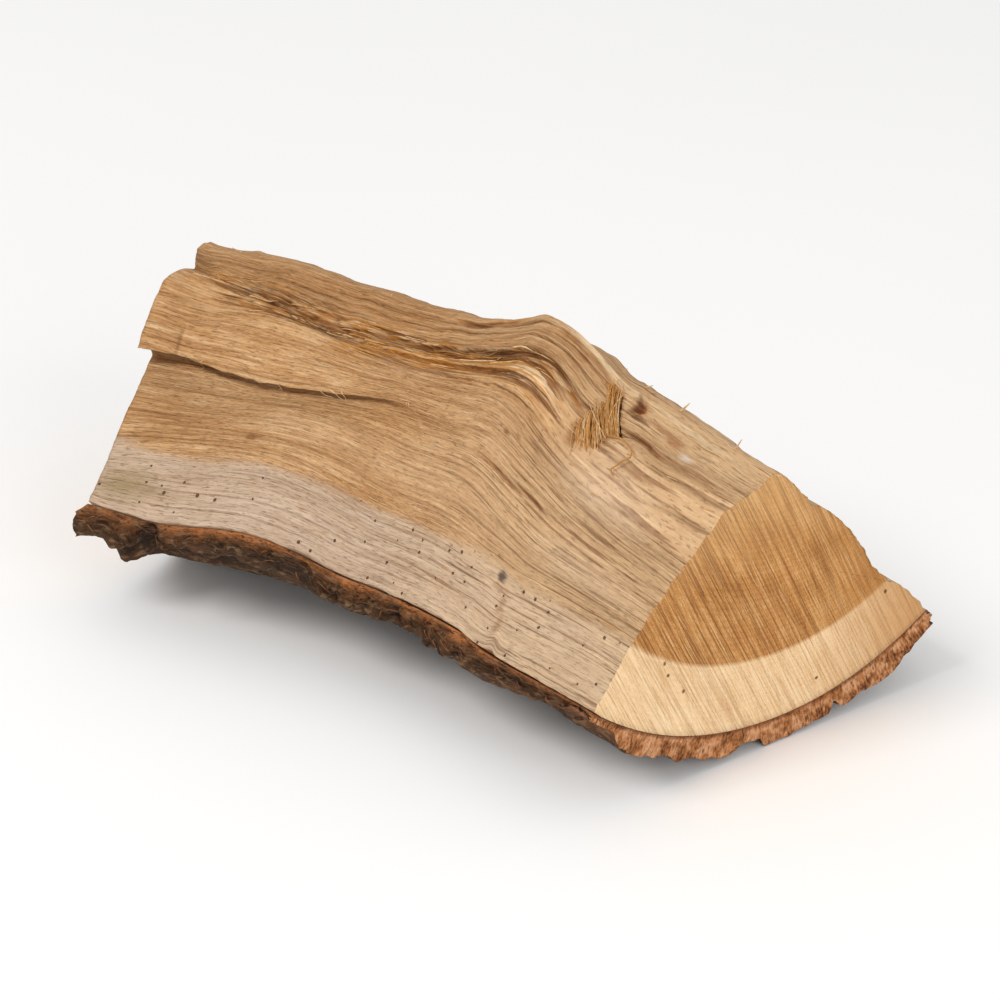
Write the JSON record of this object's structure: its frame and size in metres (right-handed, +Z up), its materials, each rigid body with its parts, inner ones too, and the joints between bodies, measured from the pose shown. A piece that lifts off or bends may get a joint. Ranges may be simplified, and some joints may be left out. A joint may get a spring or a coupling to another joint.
{
  "type": "split log",
  "caption": "Split wedge of oak firewood with two torn split faces, two sawn ends, a knot on its ridge and bark on its rounded underside.",
  "frame": {"origin": "on the ground, under the middle of the log's bounding box, with the log lying on its bark and its ridge up", "axes": "+X along the grain from the far sawn end to the near sawn end; +Y away from the front split face, which has the ledge and the knot; +Z up"},
  "size_m": [0.2754, 0.1782, 0.1144],
  "materials": {
    "wood": "raw oak, torn and dusty on the split faces, rough-sawn on the ends; tan heartwood and pale sapwood",
    "bark": "rough, fibrous red-brown oak bark with a grey-brown weathered outer side"
  },
  "bodies": {
    "root": {"wood": "wood", "bark": "bark"}
  },
  "joints": []
}
